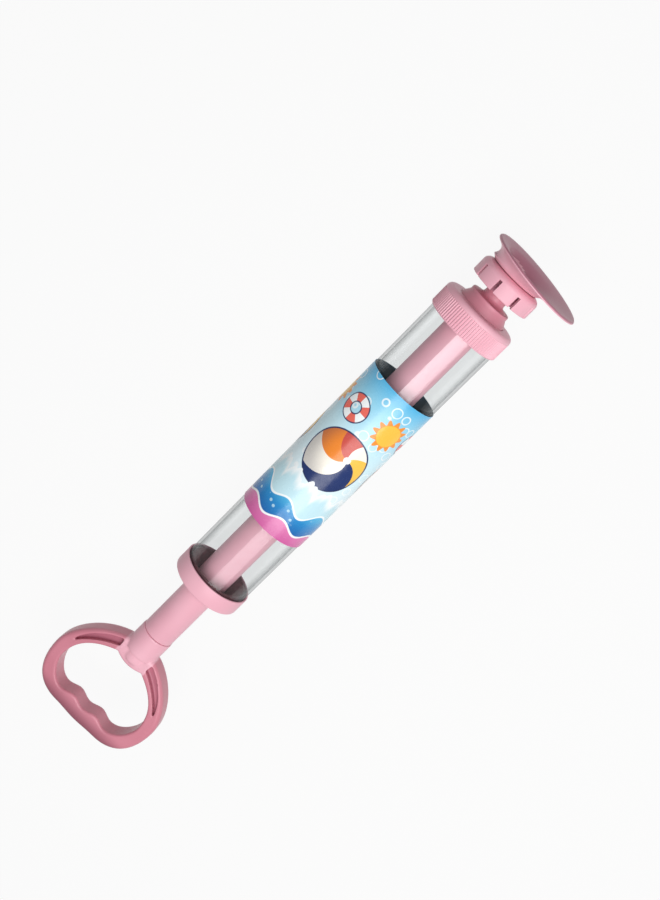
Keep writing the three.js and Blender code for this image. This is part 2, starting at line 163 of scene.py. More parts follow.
def pinkMaterial(name, tones, roughness=pinkLook["roughness"], socketTones=None):
    made, tree, shader, place = newMaterial(name)
    cloud = ramp(tree, noise(tree, place, pinkLook["cloudScale"]), *noiseBand)
    paint = blend(tree, cloud, *tones)
    if socketTones:
        x, y = placeParts(tree, place)[:2]
        # the socket keeps the pale pink, the rest of the handle gets the darker copy: painted shade
        aside = calc(tree, "ABSOLUTE", calc(tree, "SUBTRACT", y, axisY))
        share = calc(tree, "MULTIPLY", ramp(tree, x, *pinkLook["socketFrom"]),
                     ramp(tree, aside, *pinkLook["socketWide"]))
        paint = blend(tree, share, paint, blend(tree, cloud, *socketTones))
        # painted shade along the grip's outer side
        rim = ramp(tree, x, *pinkLook["rimShadeFrom"], 0.0, pinkLook["rimShadeShare"])
        paint = blend(tree, rim, paint, pinkLook["rim"])
    tree.links.new(paint, shader.inputs["Base Color"])
    satin = ramp(tree, noise(tree, place, pinkLook["satinScale"]), *noiseBand, *roughness)
    tree.links.new(satin, shader.inputs["Roughness"])
    shader.inputs["Specular IOR Level"].default_value = pinkLook["gloss"]
    grain = noise(tree, place, pinkLook["grainScale"], pinkLook["grainDetail"])
    bump(tree, shader, grain, pinkLook["grainStrength"], pinkLook["grainDepth"])
    return made


pinkPlastic = pinkMaterial("pinkPlastic", pinkLook["pale"])
# the nose, handle ring, bell inside and groove floors below get darker copies of the pale pink: painted shade
noseShadedPlastic = pinkMaterial("noseShadedPlastic", pinkLook["noseShade"])
handleShadedPlastic = pinkMaterial("handleShadedPlastic", pinkLook["ring"], pinkLook["handleRoughness"], pinkLook["pale"])
bellShadeInside = pinkMaterial("bellShadeInside", pinkLook["bell"])
grooveShadeFloor = pinkMaterial("grooveShadeFloor", pinkLook["groove"])


# rubber of the seals and the stop ring

rubberLooks = {  # light tone, dark tone and roughness
    # the stop ring's dark brownish pink is partly the rubber's own tone and partly painted shade inside the
    # rear cap
    "stopRubberAndShade": (colour(112, 70, 77), colour(90, 55, 62), 0.66),
    "blackRubber": (colour(46, 44, 46), colour(33, 32, 34), 0.55),
    "paleRubber": (colour(220, 215, 208), colour(204, 199, 192), 0.6),
}
rubberGrain = {
    "dustScale": 260, "dustDetail": 4, "dustBand": (0.35, 0.7),
    "wornScale": 700, "worn": (-0.06, 0.1),  # change of roughness
    "gloss": 0.35,
    "grainScale": 1900, "grainDetail": 3, "grainStrength": 0.2, "grainDepth": 0.05,
}


def rubberMaterial(name):
    light, dark, roughness = rubberLooks[name]
    made, tree, shader, place = newMaterial(name)
    dust = noise(tree, place, rubberGrain["dustScale"], rubberGrain["dustDetail"])
    dust = ramp(tree, dust, *rubberGrain["dustBand"])
    tree.links.new(blend(tree, dust, dark, light), shader.inputs["Base Color"])
    worn = ramp(tree, noise(tree, place, rubberGrain["wornScale"]), *noiseBand,
                *(roughness + change for change in rubberGrain["worn"]))
    tree.links.new(worn, shader.inputs["Roughness"])
    shader.inputs["Specular IOR Level"].default_value = rubberGrain["gloss"]
    grain = noise(tree, place, rubberGrain["grainScale"], rubberGrain["grainDetail"])
    bump(tree, shader, grain, rubberGrain["grainStrength"], rubberGrain["grainDepth"])
    return made


stopRubberAndShade = rubberMaterial("stopRubberAndShade")
blackRubber = rubberMaterial("blackRubber")
paleRubber = rubberMaterial("paleRubber")


# clear plastic of the barrel: a faint gloss straight on, grey where the wall is seen edge on

clearLook = {
    "tint": (0.985, 0.988, 0.988, 1.0),  # what one surface lets through
    "lowerShadeTint": (0.925, 0.936, 0.938, 1.0),  # and one of the lower half, which lets less through than the upper: painted shade on what is seen through it
    "shadeBlend": 0.002,  # metres above and below the axis between the two
    "gloss": 0.037, "glossTint": (0.95, 0.96, 0.96, 1.0),
    "edge": colour(128, 137, 138), "edgeRoughness": 0.25,
    "turn": (0.36, 0.97),  # from where the wall begins to show, straight on is 0 and edge on 1
    "shown": 0.45,
    "hazeScale": 60, "hazeDetail": 3, "hazeBand": (0.35, 0.7), "roughness": (0.04, 0.1),
}


def clearMaterial():
    made, tree, shader, place = newMaterial("clearPlastic")
    facing = tree.nodes.new("ShaderNodeLayerWeight").outputs["Facing"]
    film = tree.nodes.new("ShaderNodeBsdfTransparent")
    height = placeParts(tree, place)[2]
    # darker below the axis than above: painted light and shade
    lower = ramp(tree, height, axisZ + clearLook["shadeBlend"], axisZ - clearLook["shadeBlend"])
    tree.links.new(blend(tree, lower, clearLook["tint"], clearLook["lowerShadeTint"]), film.inputs["Color"])
    gloss = tree.nodes.new("ShaderNodeBsdfGlossy")
    gloss.inputs["Color"].default_value = clearLook["glossTint"]
    haze = noise(tree, place, clearLook["hazeScale"], clearLook["hazeDetail"])
    haze = ramp(tree, haze, *clearLook["hazeBand"], *clearLook["roughness"])
    tree.links.new(haze, gloss.inputs["Roughness"])
    wall = mixShaders(tree, clearLook["gloss"], film, gloss)
    shader.inputs["Base Color"].default_value = clearLook["edge"]
    shader.inputs["Roughness"].default_value = clearLook["edgeRoughness"]
    rim = ramp(tree, facing, *clearLook["turn"], 0.0, clearLook["shown"])
    whole = mixShaders(tree, rim, wall, shader)
    tree.links.new(whole.outputs[0], tree.nodes["Material Output"].inputs["Surface"])
    return made


clearPlastic = clearMaterial()


# printed film: waves, foam, bubbles, a beach ball, a swim ring and a plain sun, in millimetres

labelLook = {
    "repeats": 3,  # the print repeats this often round the barrel
    "radius": 25.55,
    "edge": 0.28,  # softness of a printed edge
    "sky": ((0.0, colour(226, 244, 250)), (0.5, colour(202, 236, 247)), (0.82, colour(150, 214, 240)),
            (1.0, colour(86, 182, 228))),
    "skyFrom": 45,
    "water": ((0.0, colour(28, 98, 172)), (0.55, colour(40, 138, 202)), (1.0, colour(84, 184, 226))),
    "border": ((0.0, colour(206, 96, 160)), (0.6, colour(226, 128, 182)), (1.0, colour(240, 164, 204))),
    "waterFrom": 8, "borderFrom": 0, "toneLength": 20,
    "foam": colour(247, 252, 253),
    "foamShade": colour(198, 232, 242), "foamFade": (0.5, 9),
    "navy": colour(28, 44, 92),
    "borderLine": (9.5, 2.4, 6, 0.4),  # middle, height, crests round the barrel, shift
    "waterLine": (24.0, 3.6, 6, 1.9),
    "foamLine": (38.0, 7.0, 6, 0.9),
    "ripple": (0.5, 2.3, 0.4),  # crests, shift and height of the smaller waves, as shares
    "smallHeaps": (2.5, 0.35),  # number and height of the smaller heaps of foam, as shares
    "crest": 1.5,  # pale line on the water
    "bubbleScale": 88, "bubbleRadius": 0.3, "bubbleLine": (0.02, 0.045), "bubbleShare": 0.8,
    "beadScale": 210, "beadEdge": (0.2, 0.26), "beadShare": 0.7, "beadsFrom": (13, 16), "beadsTo": (25, 21),
    "ballPlace": (1.0, 66.0), "ballRadius": 21.0, "ballLine": 1.0,
    "ballPole": (7.0, 72.0), "ballCap": 2.4, "ballTwist": 0.007,
    "ballShade": (12, 26), "ballShadeShare": 0.35,
    "ball": ((0.0, colour(240, 138, 48)), (0.17, colour(250, 244, 232)), (0.33, colour(34, 54, 108)),
             (0.5, colour(252, 200, 84)), (0.67, colour(250, 244, 232)), (0.83, colour(206, 82, 72))),
    "ringPlace": (-13.5, 100.0), "ringRadii": (4.4, 9.4), "ringLine": 0.8, "ring": colour(236, 110, 96),
    "ringStripes": 4, "stripeSharp": 4,
    "sunPlace": (15.5, 101.0), "sunRadius": 8.0, "sunRays": 12, "rayMiddle": 2.2, "rayHeight": 1.7,
    "sun": colour(252, 196, 74), "sunDeep": colour(242, 150, 60),
    "sheenScale": 240, "sheen": (0.2, 0.3),
    "wrinkleScale": 70, "wrinkleDetail": 3, "wrinkleStrength": 0.06, "wrinkleDepth": 0.2,
    "inside": colour(52, 100, 122), "insideDeep": colour(44, 88, 108),
    "mottleScale": 90, "mottleDetail": 3, "mottleBand": (0.35, 0.65),
    "insideSheenScale": 300, "insideSheen": (0.55, 0.68),
}


def inkEdge(tree, value, limit):
    soft = labelLook["edge"]
    return ramp(tree, calc(tree, "SUBTRACT", value, limit), -soft, soft)


def under(tree, value, limit):
    return calc(tree, "SUBTRACT", 1.0, inkEdge(tree, value, limit))


def away(tree, around, along, centre):
    sideways = calc(tree, "SUBTRACT", around, centre[0])
    lengthways = calc(tree, "SUBTRACT", along, centre[1])
    square = calc(tree, "ADD", calc(tree, "MULTIPLY", sideways, sideways),
                  calc(tree, "MULTIPLY", lengthways, lengthways))
    return calc(tree, "SQRT", square), calc(tree, "ARCTAN2", lengthways, sideways)


def inks(tree, value, stops, steps=False):
    node = tree.nodes.new("ShaderNodeValToRGB")
    band = node.color_ramp
    band.interpolation = "CONSTANT" if steps else "LINEAR"
    while len(band.elements) < len(stops):
        band.elements.new(1.0)
    for element, (place, ink) in zip(band.elements, stops):
        element.position = place
        element.color = ink
    feed(tree, node.inputs[0], value)
    return node.outputs[0]


def waterLine(tree, turn, line):
    # a water line round the barrel, with a whole number of crests and a smaller ripple on it
    middle, height, crests, shift = line
    moreCrests, moreShift, moreHeight = labelLook["ripple"]
    big = calc(tree, "SINE", calc(tree, "MULTIPLY_ADD", turn, crests, shift))
    small = calc(tree, "SINE", calc(tree, "MULTIPLY_ADD", turn, crests * moreCrests, shift * moreShift))
    return calc(tree, "ADD", calc(tree, "MULTIPLY_ADD", big, height, middle),
                calc(tree, "MULTIPLY", small, height * moreHeight))


def foamLine(tree, turn, line):
    # round heaps of foam, of two sizes
    middle, height, heaps, shift = line
    moreHeaps, moreHeight = labelLook["smallHeaps"]
    big = calc(tree, "SINE", calc(tree, "MULTIPLY_ADD", turn, heaps, shift))
    small = calc(tree, "SINE", calc(tree, "MULTIPLY_ADD", turn, heaps * moreHeaps, shift))
    lower = calc(tree, "MULTIPLY_ADD", calc(tree, "ABSOLUTE", small), height * moreHeight, middle)
    return calc(tree, "MULTIPLY_ADD", calc(tree, "ABSOLUTE", big), height, lower)


def labelMaterial():
    look = labelLook
    made, tree, shader, place = newMaterial("labelPrint")
    x, y, z = placeParts(tree, place)
    low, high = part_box("barrel_label")
    length = (high.x - low.x) / mm
    along = calc(tree, "DIVIDE", calc(tree, "SUBTRACT", x, low.x), mm)
    turn = calc(tree, "ARCTAN2", calc(tree, "SUBTRACT", axisY, y), calc(tree, "SUBTRACT", z, axisZ))
    third = 2 * math.pi / look["repeats"]
    around = calc(tree, "MULTIPLY", calc(tree, "WRAP", turn, third / 2, -third / 2), look["radius"])

    paint = inks(tree, ramp(tree, along, look["skyFrom"], length, soft=False), look["sky"])

    # rings of bubbles in the sky
    rim = calc(tree, "SUBTRACT", cells(tree, place, look["bubbleScale"]), look["bubbleRadius"])
    bubble = calc(tree, "SUBTRACT", 1.0, ramp(tree, calc(tree, "ABSOLUTE", rim), *look["bubbleLine"]))
    paint = blend(tree, calc(tree, "MULTIPLY", bubble, look["bubbleShare"]), paint, look["foam"])

    # sun with rays
    distance, spoke = away(tree, around, along, look["sunPlace"])
    rays = calc(tree, "SINE", calc(tree, "MULTIPLY", spoke, look["sunRays"]))
    reach = calc(tree, "MULTIPLY_ADD", rays, look["rayHeight"], look["sunRadius"] + look["rayMiddle"])
    paint = blend(tree, under(tree, distance, reach), paint, look["sunDeep"])
    paint = blend(tree, under(tree, distance, look["sunRadius"]), paint, look["sun"])

    # swim ring in segments
    distance, spoke = away(tree, around, along, look["ringPlace"])
    inner, outer = look["ringRadii"]
    stripe = calc(tree, "SINE", calc(tree, "MULTIPLY", spoke, look["ringStripes"]))
    stripe = inkEdge(tree, calc(tree, "MULTIPLY", stripe, look["stripeSharp"]), 0.0)
    band = calc(tree, "SUBTRACT", under(tree, distance, outer), under(tree, distance, inner))
    edging = calc(tree, "SUBTRACT", under(tree, distance, outer + look["ringLine"]),
                  under(tree, distance, inner - look["ringLine"]))
    paint = blend(tree, edging, paint, look["navy"])
    paint = blend(tree, band, paint, blend(tree, stripe, look["foam"], look["ring"]))

    # beach ball, its panels meeting at a pole off the middle, with a navy edge and a soft shade
    distance = away(tree, around, along, look["ballPlace"])[0]
    poleDistance, poleSpoke = away(tree, around, along, look["ballPole"])
    share = calc(tree, "MULTIPLY_ADD", poleSpoke, 0.5 / math.pi, 0.5)
    twist = calc(tree, "MULTIPLY_ADD", poleDistance, look["ballTwist"], share)
    panels = inks(tree, calc(tree, "FRACT", twist), look["ball"], True)
    shade = calc(tree, "MULTIPLY", ramp(tree, poleDistance, *look["ballShade"]), look["ballShadeShare"])
    panels = blend(tree, shade, panels, look["navy"])
    panels = blend(tree, under(tree, poleDistance, look["ballCap"]), panels, look["foam"])
    paint = blend(tree, under(tree, distance, look["ballRadius"] + look["ballLine"]), paint, look["navy"])
    paint = blend(tree, under(tree, distance, look["ballRadius"]), paint, panels)

    # heaps of foam, then the water with a pale line on it, then the border
    line = foamLine(tree, turn, look["foamLine"])
    depth = calc(tree, "SUBTRACT", line, along)
    foam = blend(tree, ramp(tree, depth, *look["foamFade"]), look["foam"], look["foamShade"])
    paint = blend(tree, under(tree, along, line), paint, foam)
    for key in ("water", "border"):
        line = waterLine(tree, turn, look[key + "Line"])
        crest = calc(tree, "ADD", line, look["crest"])
        paint = blend(tree, under(tree, along, crest), paint, look["foam"])
        depth = calc(tree, "SUBTRACT", along, look[key + "From"])
        tone = inks(tree, calc(tree, "DIVIDE", depth, look["toneLength"]), look[key])
        paint = blend(tree, under(tree, along, line), paint, tone)

    # beads of air in the water
    bead = ramp(tree, cells(tree, place, look["beadScale"]), *look["beadEdge"])
    bead = calc(tree, "SUBTRACT", 1.0, bead)
    zone = calc(tree, "MULTIPLY", ramp(tree, along, *look["beadsFrom"]), ramp(tree, along, *look["beadsTo"]))
    share = calc(tree, "MULTIPLY", calc(tree, "MULTIPLY", bead, zone), look["beadShare"])
    paint = blend(tree, share, paint, look["foamShade"])

    tree.links.new(paint, shader.inputs["Base Color"])
    sheen = ramp(tree, noise(tree, place, look["sheenScale"]), *noiseBand, *look["sheen"])
    tree.links.new(sheen, shader.inputs["Roughness"])
    wrinkle = noise(tree, place, look["wrinkleScale"], look["wrinkleDetail"])
    bump(tree, shader, wrinkle, look["wrinkleStrength"], look["wrinkleDepth"])
    return made


def labelInsideMaterial():
    look = labelLook
    made, tree, shader, place = newMaterial("labelInside")
    mottle = ramp(tree, noise(tree, place, look["mottleScale"], look["mottleDetail"]), *look["mottleBand"])
    paint = blend(tree, mottle, look["inside"], look["insideDeep"])
    tree.links.new(paint, shader.inputs["Base Color"])
    sheen = ramp(tree, noise(tree, place, look["insideSheenScale"]), *noiseBand, *look["insideSheen"])
    tree.links.new(sheen, shader.inputs["Roughness"])
    return made


labelPrint = labelMaterial()
labelInside = labelInsideMaterial()
print("materials ready:", len(bpy.data.materials))


# ways of modelling

def clearSelection():
    bpy.ops.object.select_all(action="DESELECT")


def pick(piece):
    clearSelection()
    piece.select_set(True)
    bpy.context.view_layer.objects.active = piece


def settle(piece):
    # puts the object's place into its mesh
    pick(piece)
    bpy.ops.object.transform_apply(location=True, rotation=True, scale=True)


def arc(centre, radius, first, last, count):
    # points on a round edge, with angles in degrees from the axis direction
    points = []
    for step in range(count + 1):
        angle = math.radians(first + (last - first) * step / count)
        points.append((centre[0] + radius * math.cos(angle), centre[1] + radius * math.sin(angle)))
    return points


def sweep(first, bend, last, count):
    # points on a curve that leaves first and reaches last towards the bend
    points = []
    for step in range(count + 1):
        t = step / count
        weights = ((1 - t) ** 2, 2 * t * (1 - t), t * t)
        points.append(tuple(sum(w * p[i] for w, p in zip(weights, (first, bend, last))) for i in (0, 1)))
    return points


def axisPlace(point, rear):
    # how far a point lies along the barrel from a node's rear, and from the barrel's axis
    return (point.x - rear) / mm, math.hypot(point.y - axisY, point.z - axisZ) / mm


def applyModifier(piece, kind, **settings):
    pick(piece)
    bpy.ops.object.modifier_add(type=kind)
    modifier = piece.modifiers[-1]
    for key, value in settings.items():
        setattr(modifier, key, value)
    bpy.ops.object.modifier_apply(modifier=modifier.name)


def combine(piece, tool, operation):
    applyModifier(piece, "BOOLEAN", operation=operation, solver="EXACT", object=tool)
    bpy.data.objects.remove(tool)


def roundEdges(piece, width, segments=3):
    applyModifier(piece, "BEVEL", width=width * mm, segments=segments, limit_method="ANGLE",
                  angle_limit=edgeAngle, use_clamp_overlap=True)


def closeUp(piece):
    # one skin with its faces outwards
    pick(piece)
    bpy.ops.object.mode_set(mode="EDIT")
    bpy.ops.mesh.select_all(action="SELECT")
    bpy.ops.mesh.remove_doubles(threshold=closeEnough)
    bpy.ops.mesh.normals_make_consistent(inside=False)
    bpy.ops.object.mode_set(mode="OBJECT")


def finishPiece(piece, settings, finish):
    settle(piece)
    bpy.ops.object.shade_smooth_by_angle(angle=smoothAngle)
    piece.data.materials.clear()
    piece.data.materials.append(finish)
    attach(piece, settings["body"])
    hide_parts(settings["node"])


def paintFaces(piece, finish, chosen):
    # a second finish for the faces that the test chooses
    piece.data.materials.append(finish)
    count = 0
    for face in piece.data.polygons:
        if chosen(face):
            face.material_index = 1
            count += 1
    print("faces of", piece.name, "with a second finish:", count)


def turnPiece(settings):
    # a circle drawn out along the barrel's axis, step by step, as places from the node's rear and radii
    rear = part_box(settings["node"])[0].x
    steps = settings["outline"]
    hollow = settings.get("hollow", True)
    place, radius = steps[0]
    clearSelection()
    bpy.ops.mesh.primitive_circle_add(vertices=settings["sides"], radius=radius * mm,
                                      location=(rear + place * mm, axisY, axisZ),
                                      rotation=(0, math.pi / 2, 0))
    piece = bpy.context.object
    piece.name = settings["name"]
    bpy.ops.object.transform_apply(location=False, rotation=True, scale=False)
    bpy.ops.object.mode_set(mode="EDIT")
    bpy.ops.mesh.select_all(action="SELECT")
    if not hollow:
        bpy.ops.mesh.edge_face_add()
    for nextPlace, nextRadius in (steps[1:] + steps[:1] if hollow else steps[1:]):
        bpy.ops.mesh.extrude_edges_move(
            TRANSFORM_OT_translate={"value": ((nextPlace - place) * mm, 0, 0)})
        if nextRadius != radius:
            growth = nextRadius / radius
            bpy.ops.transform.resize(value=(1, growth, growth),
                                     center_override=(rear + nextPlace * mm, axisY, axisZ))
        place, radius = nextPlace, nextRadius
    if not hollow:
        bpy.ops.mesh.edge_face_add()
    bpy.ops.object.mode_set(mode="OBJECT")
    closeUp(piece)
    return piece


# clear barrel and its label

barrelTube = {
    "name": "barrelTube", "node": "barrel_tube", "body": "barrel", "slot": "clear_plastic",
    "sides": 160, "edge": 0.35,
    "outline": [(0, 23.2), (0, 25), (254.6, 25), (254.6, 23.2)],
}
tube = turnPiece(barrelTube)
roundEdges(tube, barrelTube["edge"])
finishPiece(tube, barrelTube, clearPlastic)

barrelLabel = {
    "name": "barrelLabel", "node": "barrel_label", "body": "barrel", "slot": "printed_film",
    "sides": 160,
    "outline": [(0, 25.3), (0, 25.55), (125.6, 25.55), (125.6, 25.3)],
}


def facesAxis(face):
    outward = Vector((0, face.center.y - axisY, face.center.z - axisZ))
    return face.normal.dot(outward) < 0


label = turnPiece(barrelLabel)
finishPiece(label, barrelLabel, labelPrint)
paintFaces(label, labelInside, facesAxis)
print("barrel and label done")


# front cap ring with straight ribs round its skirt

capRing = {
    "name": "capRing", "node": "cap_ring", "body": "barrel", "slot": "pink_plastic",
    "ribs": 90, "ribSides": 4, "ribGap": (2, 3),  # of a rib's sides, those drawn in
    "ribEnds": (0.9, 13.2), "ribNear": 0.01, "crest": 26.8, "root": 26.25, "rootAbove": 0.1,
    "outline": [(0, 25.3), (0, 26.0), (0.2, 26.25), (0.6, 26.25), (0.9, 26.8), (13.2, 26.8), (13.55, 26.8),
                *arc((13.9, 23.4), 3.4, 90, 0, 7), (17.3, 18.0), (16.9, 17.6), (14.5, 17.6), (14.5, 25.3)],
}
capRing["sides"] = capRing["ribs"] * capRing["ribSides"]


def cutRibs(piece, settings):
    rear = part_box(settings["node"])[0].x
    settle(piece)
    bpy.ops.object.mode_set(mode="EDIT")
    bpy.ops.mesh.select_mode(type="VERT")
    bpy.ops.mesh.select_all(action="DESELECT")
    bpy.ops.object.mode_set(mode="OBJECT")
    count = 0
    for vertex in piece.data.vertices:
        offset, radius = axisPlace(vertex.co, rear)
        angle = math.atan2(vertex.co.y - axisY, vertex.co.z - axisZ)
        number = round(angle / (2 * math.pi) * settings["sides"]) % settings["ribSides"]
        atEnd = any(abs(offset - end) < settings["ribNear"] for end in settings["ribEnds"])
        outside = radius > settings["root"] + settings["rootAbove"]
        vertex.select = atEnd and outside and number in settings["ribGap"]
        count += vertex.select
    share = settings["root"] / settings["crest"]
    bpy.ops.object.mode_set(mode="EDIT")
    bpy.ops.transform.resize(value=(1, share, share), center_override=(0, axisY, axisZ))
    bpy.ops.object.mode_set(mode="OBJECT")
    print("rib points drawn in:", count)


ring = turnPiece(capRing)
cutRibs(ring, capRing)
finishPiece(ring, capRing, pinkPlastic)


# nozzle base: flange, stepped nose, neck and outlet

nozzleBase = {
    "name": "nozzleBase", "node": "nozzle_base", "body": "barrel", "slot": "pink_plastic",
    "sides": 128, "edge": 0.3,
    "outline": [(0, 5), (0, 25), (1.6, 25), (1.6, 17.3), (5.8, 17.3), (9.8, 14.8), (11.7, 14.8),
                *sweep((11.7, 14.8), (12.6, 14.8), (12.6, 13.9), 4)[1:],
                *sweep((12.6, 13.9), (12.6, 8), (15.6, 8), 8)[1:],
                (23.3, 8), (23.3, 6.2), (25.4, 6.2), (25.4, 8), (28.6, 8), (28.6, 9.1), (30, 8), (30, 1.8),
                (24, 1.8), (12.6, 5)],
}
nose = turnPiece(nozzleBase)
roundEdges(nose, nozzleBase["edge"])
finishPiece(nose, nozzleBase, noseShadedPlastic)


# rear cap and the stop ring inside it

rearCap = {
    "name": "rearCap", "node": "rear_cap", "body": "barrel", "slot": "pink_plastic",
    "sides": 128, "edge": 0.25,
    "outline": [(0, 12.5), *arc((1.2, 25.2), 1.2, 180, 90, 4), (12.8, 26.4), (12.8, 25.3), (2.5, 25.3),
                (2.5, 12.5)],
}
cap = turnPiece(rearCap)
roundEdges(cap, rearCap["edge"])
finishPiece(cap, rearCap, pinkPlastic)

rearStop = {
    "name": "rearStopRing", "node": "rear_stop_ring", "body": "barrel", "slot": "dark_rubber",
    "sides": 128, "edge": 0.4, "edgeSteps": 4,
    "outline": [(0, 12.5), (0, 22.9), (10.5, 22.9), (10.5, 21.3), (2.4, 12.5)],
}
stop = turnPiece(rearStop)
roundEdges(stop, rearStop["edge"], rearStop["edgeSteps"])
finishPiece(stop, rearStop, stopRubberAndShade)
print("caps and nozzle done")


# plunger tube, piston and its seals

plungerTube = {
    "name": "plungerTube", "node": "plunger_tube", "body": "plunger", "slot": "pink_plastic",
    "sides": 128, "edge": 0.4,
    "outline": [(0, 10), (0, 12), (297.8, 12), (297.8, 10)],
}
rod = turnPiece(plungerTube)
roundEdges(rod, plungerTube["edge"])
finishPiece(rod, plungerTube, pinkPlastic)

pistonHead = {
    "name": "pistonHead", "node": "piston_head", "body": "plunger", "slot": "pink_plastic",
    "sides": 128, "edge": 0.3, "hollow": False,
    "outline": [(0, 9.7), (18, 9.7), (18, 22.6), (19.6, 22.6), (19.6, 20.4), (22.4, 20.4), (22.4, 22.6),
                (25.6, 22.6), (25.6, 20.4), (28.4, 20.4), (28.4, 22.6), (30, 22.6)],
}
piston = turnPiece(pistonHead)
roundEdges(piston, pistonHead["edge"])
finishPiece(piston, pistonHead, pinkPlastic)

sealRings = {
    "pistonSealRear": "piston_o_ring_rear",
    "pistonSealFront": "piston_o_ring_front",
}
sealSides = {"section": 20, "ring": 96}


def turnSeal(name, node):
    low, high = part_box(node)
    section = high.x - low.x
    outer = (high.z - low.z) / 2
    middle = (low.x + high.x) / 2
    clearSelection()
    bpy.ops.mesh.primitive_circle_add(vertices=sealSides["section"], radius=section / 2,
                                      rotation=(math.pi / 2, 0, 0),
                                      location=(middle, axisY, axisZ + outer - section / 2))
    piece = bpy.context.object
    piece.name = name
    settle(piece)
    bpy.ops.object.mode_set(mode="EDIT")
    bpy.ops.mesh.select_all(action="SELECT")
    bpy.ops.mesh.spin(steps=sealSides["ring"], angle=2 * math.pi,
                      center=(middle, axisY, axisZ), axis=(1, 0, 0))
    bpy.ops.object.mode_set(mode="OBJECT")
    closeUp(piece)
    return piece


for name, node in sealRings.items():
    seal = turnSeal(name, node)
    finishPiece(seal, {"body": "piston_seals", "node": node, "slot": "black_rubber"}, blackRubber)
print("plunger and seals done")


# spray collar with slots in its skirt

sprayCollar = {
    "name": "sprayCollar", "node": "spray_collar", "body": "spray_head", "slot": "pink_plastic",
    "sides": 144, "edge": 0.22, "edgeSteps": 2,
    "outline": [(0.1, 8.3), (0.1, 16), (10.25, 16), (7.75, 20), (0, 20),
                *sweep((0, 21.3), (0, 22.1), (0.8, 22.1), 4),
                *sweep((8.8, 22.1), (13.4, 22.1), (13.4, 14), 10),
                (13.4, 5.8), (11, 5.8), (11, 9.4), (9, 9.4), (9, 8.3)],
    "slots": 9, "slotWidth": 2.5, "slotLength": 8.8, "slotDeep": 4.2, "slotRadius": 21.3, "slotTurn": 28,
    "hollowPlace": (1, 10.9), "hollowRadii": (14.5, 20.1),  # under the skirt, painted darker as shade
}


def cutSlots(piece, settings):
    # one box per slot, joined to one cutter
    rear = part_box(settings["node"])[0].x
    length, width, deep = settings["slotLength"] * 2, settings["slotWidth"], settings["slotDeep"]
    pitch = 360 / settings["slots"]
    cutters = []
    for number in range(settings["slots"]):
        clearSelection()
        bpy.ops.mesh.primitive_cube_add(size=1, location=(0, 0, 0))
        cutter = bpy.context.object
        cutter.scale = (length * mm, width * mm, deep * mm)
        bpy.ops.object.transform_apply(location=False, rotation=False, scale=True)
        turn = Euler((math.radians(settings["slotTurn"] + pitch * number), 0, 0)).to_matrix()
        cutter.matrix_world = (Matrix.Translation((rear, axisY, axisZ)) @ turn.to_4x4()
                               @ Matrix.Translation((0, 0, settings["slotRadius"] * mm)))
        cutters.append(cutter)
    clearSelection()
    for cutter in cutters:
        cutter.select_set(True)
    bpy.context.view_layer.objects.active = cutters[0]
    bpy.ops.object.join()
    combine(piece, bpy.context.object, "DIFFERENCE")


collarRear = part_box(sprayCollar["node"])[0].x


def underSkirt(face):
    offset, radius = axisPlace(face.center, collarRear)
    rear, front = sprayCollar["hollowPlace"]
    inner, outer = sprayCollar["hollowRadii"]
    return rear < offset < front and inner < radius < outer


collar = turnPiece(sprayCollar)
cutSlots(collar, sprayCollar)
roundEdges(collar, sprayCollar["edge"], sprayCollar["edgeSteps"])
finishPiece(collar, sprayCollar, pinkPlastic)
# the hollow under the skirt gets the darker pink: painted shade
paintFaces(collar, bellShadeInside, underSkirt)


# spray bell: drawn out to one side as a lip

sprayBell = {
    "name": "sprayBell", "node": "spray_bell", "body": "spray_head", "slot": "pink_plastic",
    "sides": 160, "edge": 0.3,
    "outline": [(0, 1.8), (0, 5.5), (2.4, 5.5), (2.4, 17.5), (4.4, 20),
                *sweep((4.4, 20), (8.9, 22.5), (10.9, 34.6), 14)[1:], (11.75, 34.6), (12.6, 33.75),
                *sweep((12.6, 33.75), (10.6, 20.8), (6.1, 15.8), 14)[1:], (6.1, 1.8)],
    "lipFrom": (4.4, 10.9), "lipSpread": (5.5, 17.5), "lipReach": 11.2, "lipSlope": 6.5, "lipTurn": 152,
    "insideFacing": 0.2,  # faces that look forwards more than this are its inside, which is painted darker as shade
}


def drawLip(piece, settings):
    # the nearer a ring lies to the rim, the further it moves sideways and tips
    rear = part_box(settings["node"])[0].x
    turn = math.radians(settings["lipTurn"])
    side = Vector((0, math.cos(turn), math.sin(turn)))
    start, rim = settings["lipFrom"]
    narrow, wide = settings["lipSpread"]
    slope = math.tan(math.radians(settings["lipSlope"]))
    axis = Vector((rear, axisY, axisZ))
    for vertex in piece.data.vertices:
        place = (vertex.co - axis) / mm
        rise = min(max((place.x - start) / (rim - start), 0), 1)
        spread = min(max((math.hypot(place.y, place.z) - narrow) / (wide - narrow), 0), 1)
        share = rise * spread * spread * (3 - 2 * spread)  # eased at both ends
        alongSide = place.dot(side)
        place += side * settings["lipReach"] * share
        place.x -= slope * alongSide * share
        vertex.co = axis + place * mm


bell = turnPiece(sprayBell)
settle(bell)
drawLip(bell, sprayBell)
roundEdges(bell, sprayBell["edge"])
finishPiece(bell, sprayBell, pinkPlastic)
paintFaces(bell, bellShadeInside, lambda face: face.normal.x > sprayBell["insideFacing"])
print("spray head done")


# handle: a flat ring with finger scallops, joined to its socket, grooves in the arms

